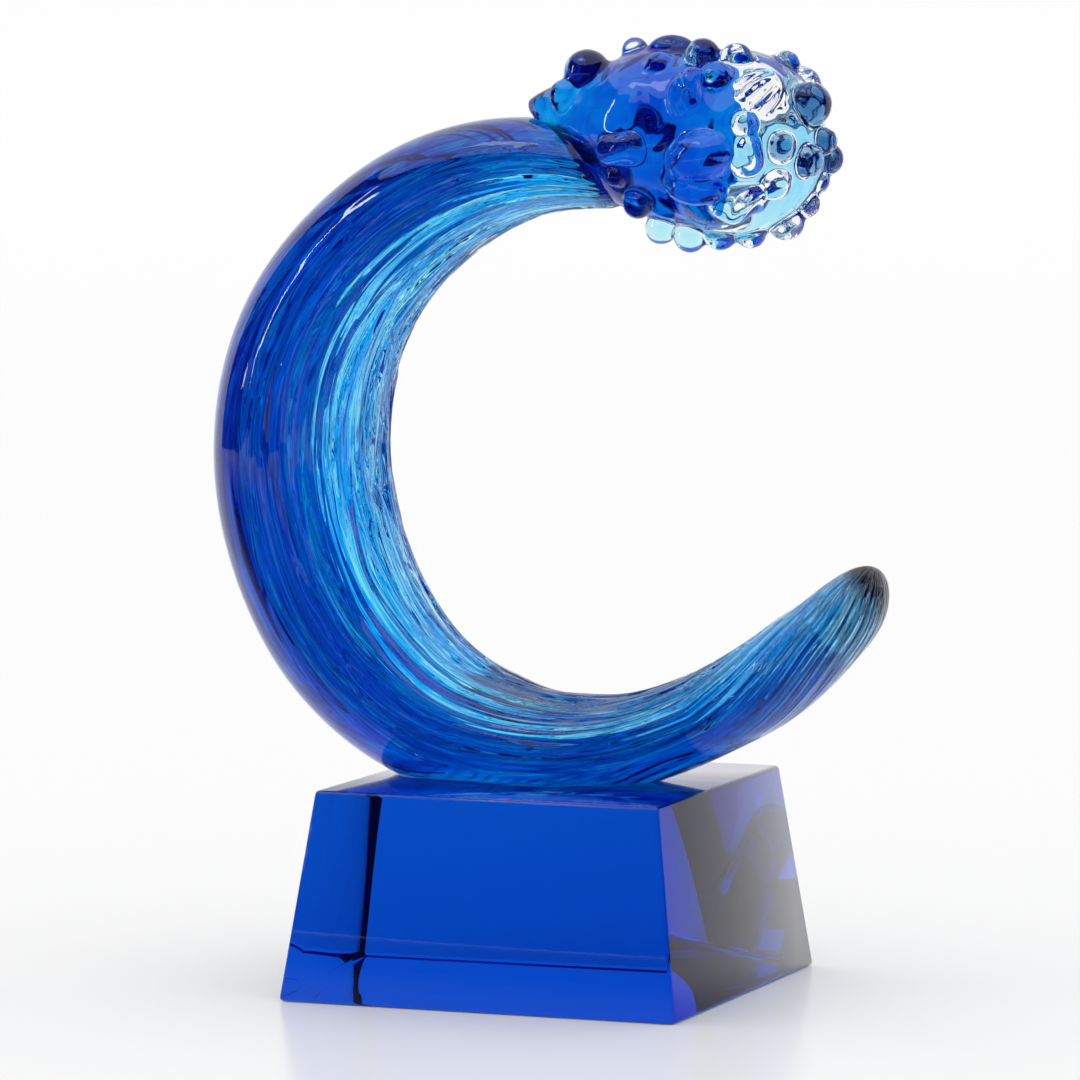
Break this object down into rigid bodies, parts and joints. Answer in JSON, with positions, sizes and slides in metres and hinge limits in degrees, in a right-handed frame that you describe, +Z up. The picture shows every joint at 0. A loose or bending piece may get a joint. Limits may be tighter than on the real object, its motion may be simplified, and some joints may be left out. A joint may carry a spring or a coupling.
{
  "type": "glass wave sculpture",
  "caption": "Hot-worked blue glass wave curling into a foaming crest of clear and aqua drops, bonded to a tapered cobalt crystal block",
  "frame": {"origin": "Middle of the crystal block's underside", "axes": "+X towards the wave's tail, -Y towards the viewer, +Z up"},
  "size_m": [0.1972, 0.1146, 0.2615],
  "materials": {
    "base_crystal": "polished optical crystal, cobalt throughout",
    "bond_resin": "clear cured resin film",
    "clear_glass": "fire-polished clear glass",
    "cobalt_glass": "fire-polished cobalt blue glass",
    "aqua_glass": "fire-polished aqua glass",
    "navy_glass": "fire-polished dark blue glass"
  },
  "bodies": {
    "root": {"base_block": "base_crystal", "bond_film": "bond_resin", "brow_drop_back": "clear_glass", "brow_drop_front": "clear_glass", "brow_fan_back": "clear_glass", "brow_fan_front": "clear_glass", "brow_twist_back": "clear_glass", "brow_twist_front": "clear_glass", "cheek_bead_back": "navy_glass", "cheek_bead_front": "navy_glass", "cheek_curl_back": "clear_glass", "cheek_curl_front": "clear_glass", "cheek_drop_back": "clear_glass", "cheek_drop_front": "clear_glass", "cheek_eye_back": "cobalt_glass", "cheek_eye_front": "cobalt_glass", "cheek_lobe_back": "cobalt_glass", "cheek_lobe_front": "cobalt_glass", "chin_drop_1": "clear_glass", "chin_drop_2": "aqua_glass", "chin_drop_3": "aqua_glass", "chin_drop_4": "aqua_glass", "chin_drop_5": "clear_glass", "chin_drop_6": "clear_glass", "chin_drop_7": "clear_glass", "crest_gather": "clear_glass", "crest_hood": "cobalt_glass", "crown_drop_1": "aqua_glass", "crown_drop_2": "aqua_glass", "crown_drop_3": "clear_glass", "crown_drop_4": "aqua_glass", "crown_drop_5": "clear_glass", "crown_drop_6": "navy_glass", "crown_drop_7": "clear_glass", "crown_drop_8": "clear_glass", "hood_bead": "clear_glass", "hood_swirl_back": "clear_glass", "hood_swirl_front": "clear_glass", "nose_drop_1": "navy_glass", "nose_drop_2": "navy_glass", "nose_drop_3": "clear_glass", "nose_eye_back": "navy_glass", "nose_eye_front": "navy_glass", "nose_pearl_back": "clear_glass", "nose_pearl_front": "clear_glass", "nose_side_drop_back": "navy_glass", "nose_side_drop_front": "navy_glass", "wave_casing": "clear_glass", "wave_core": "cobalt_glass", "wave_veil": "aqua_glass"}
  },
  "joints": []
}
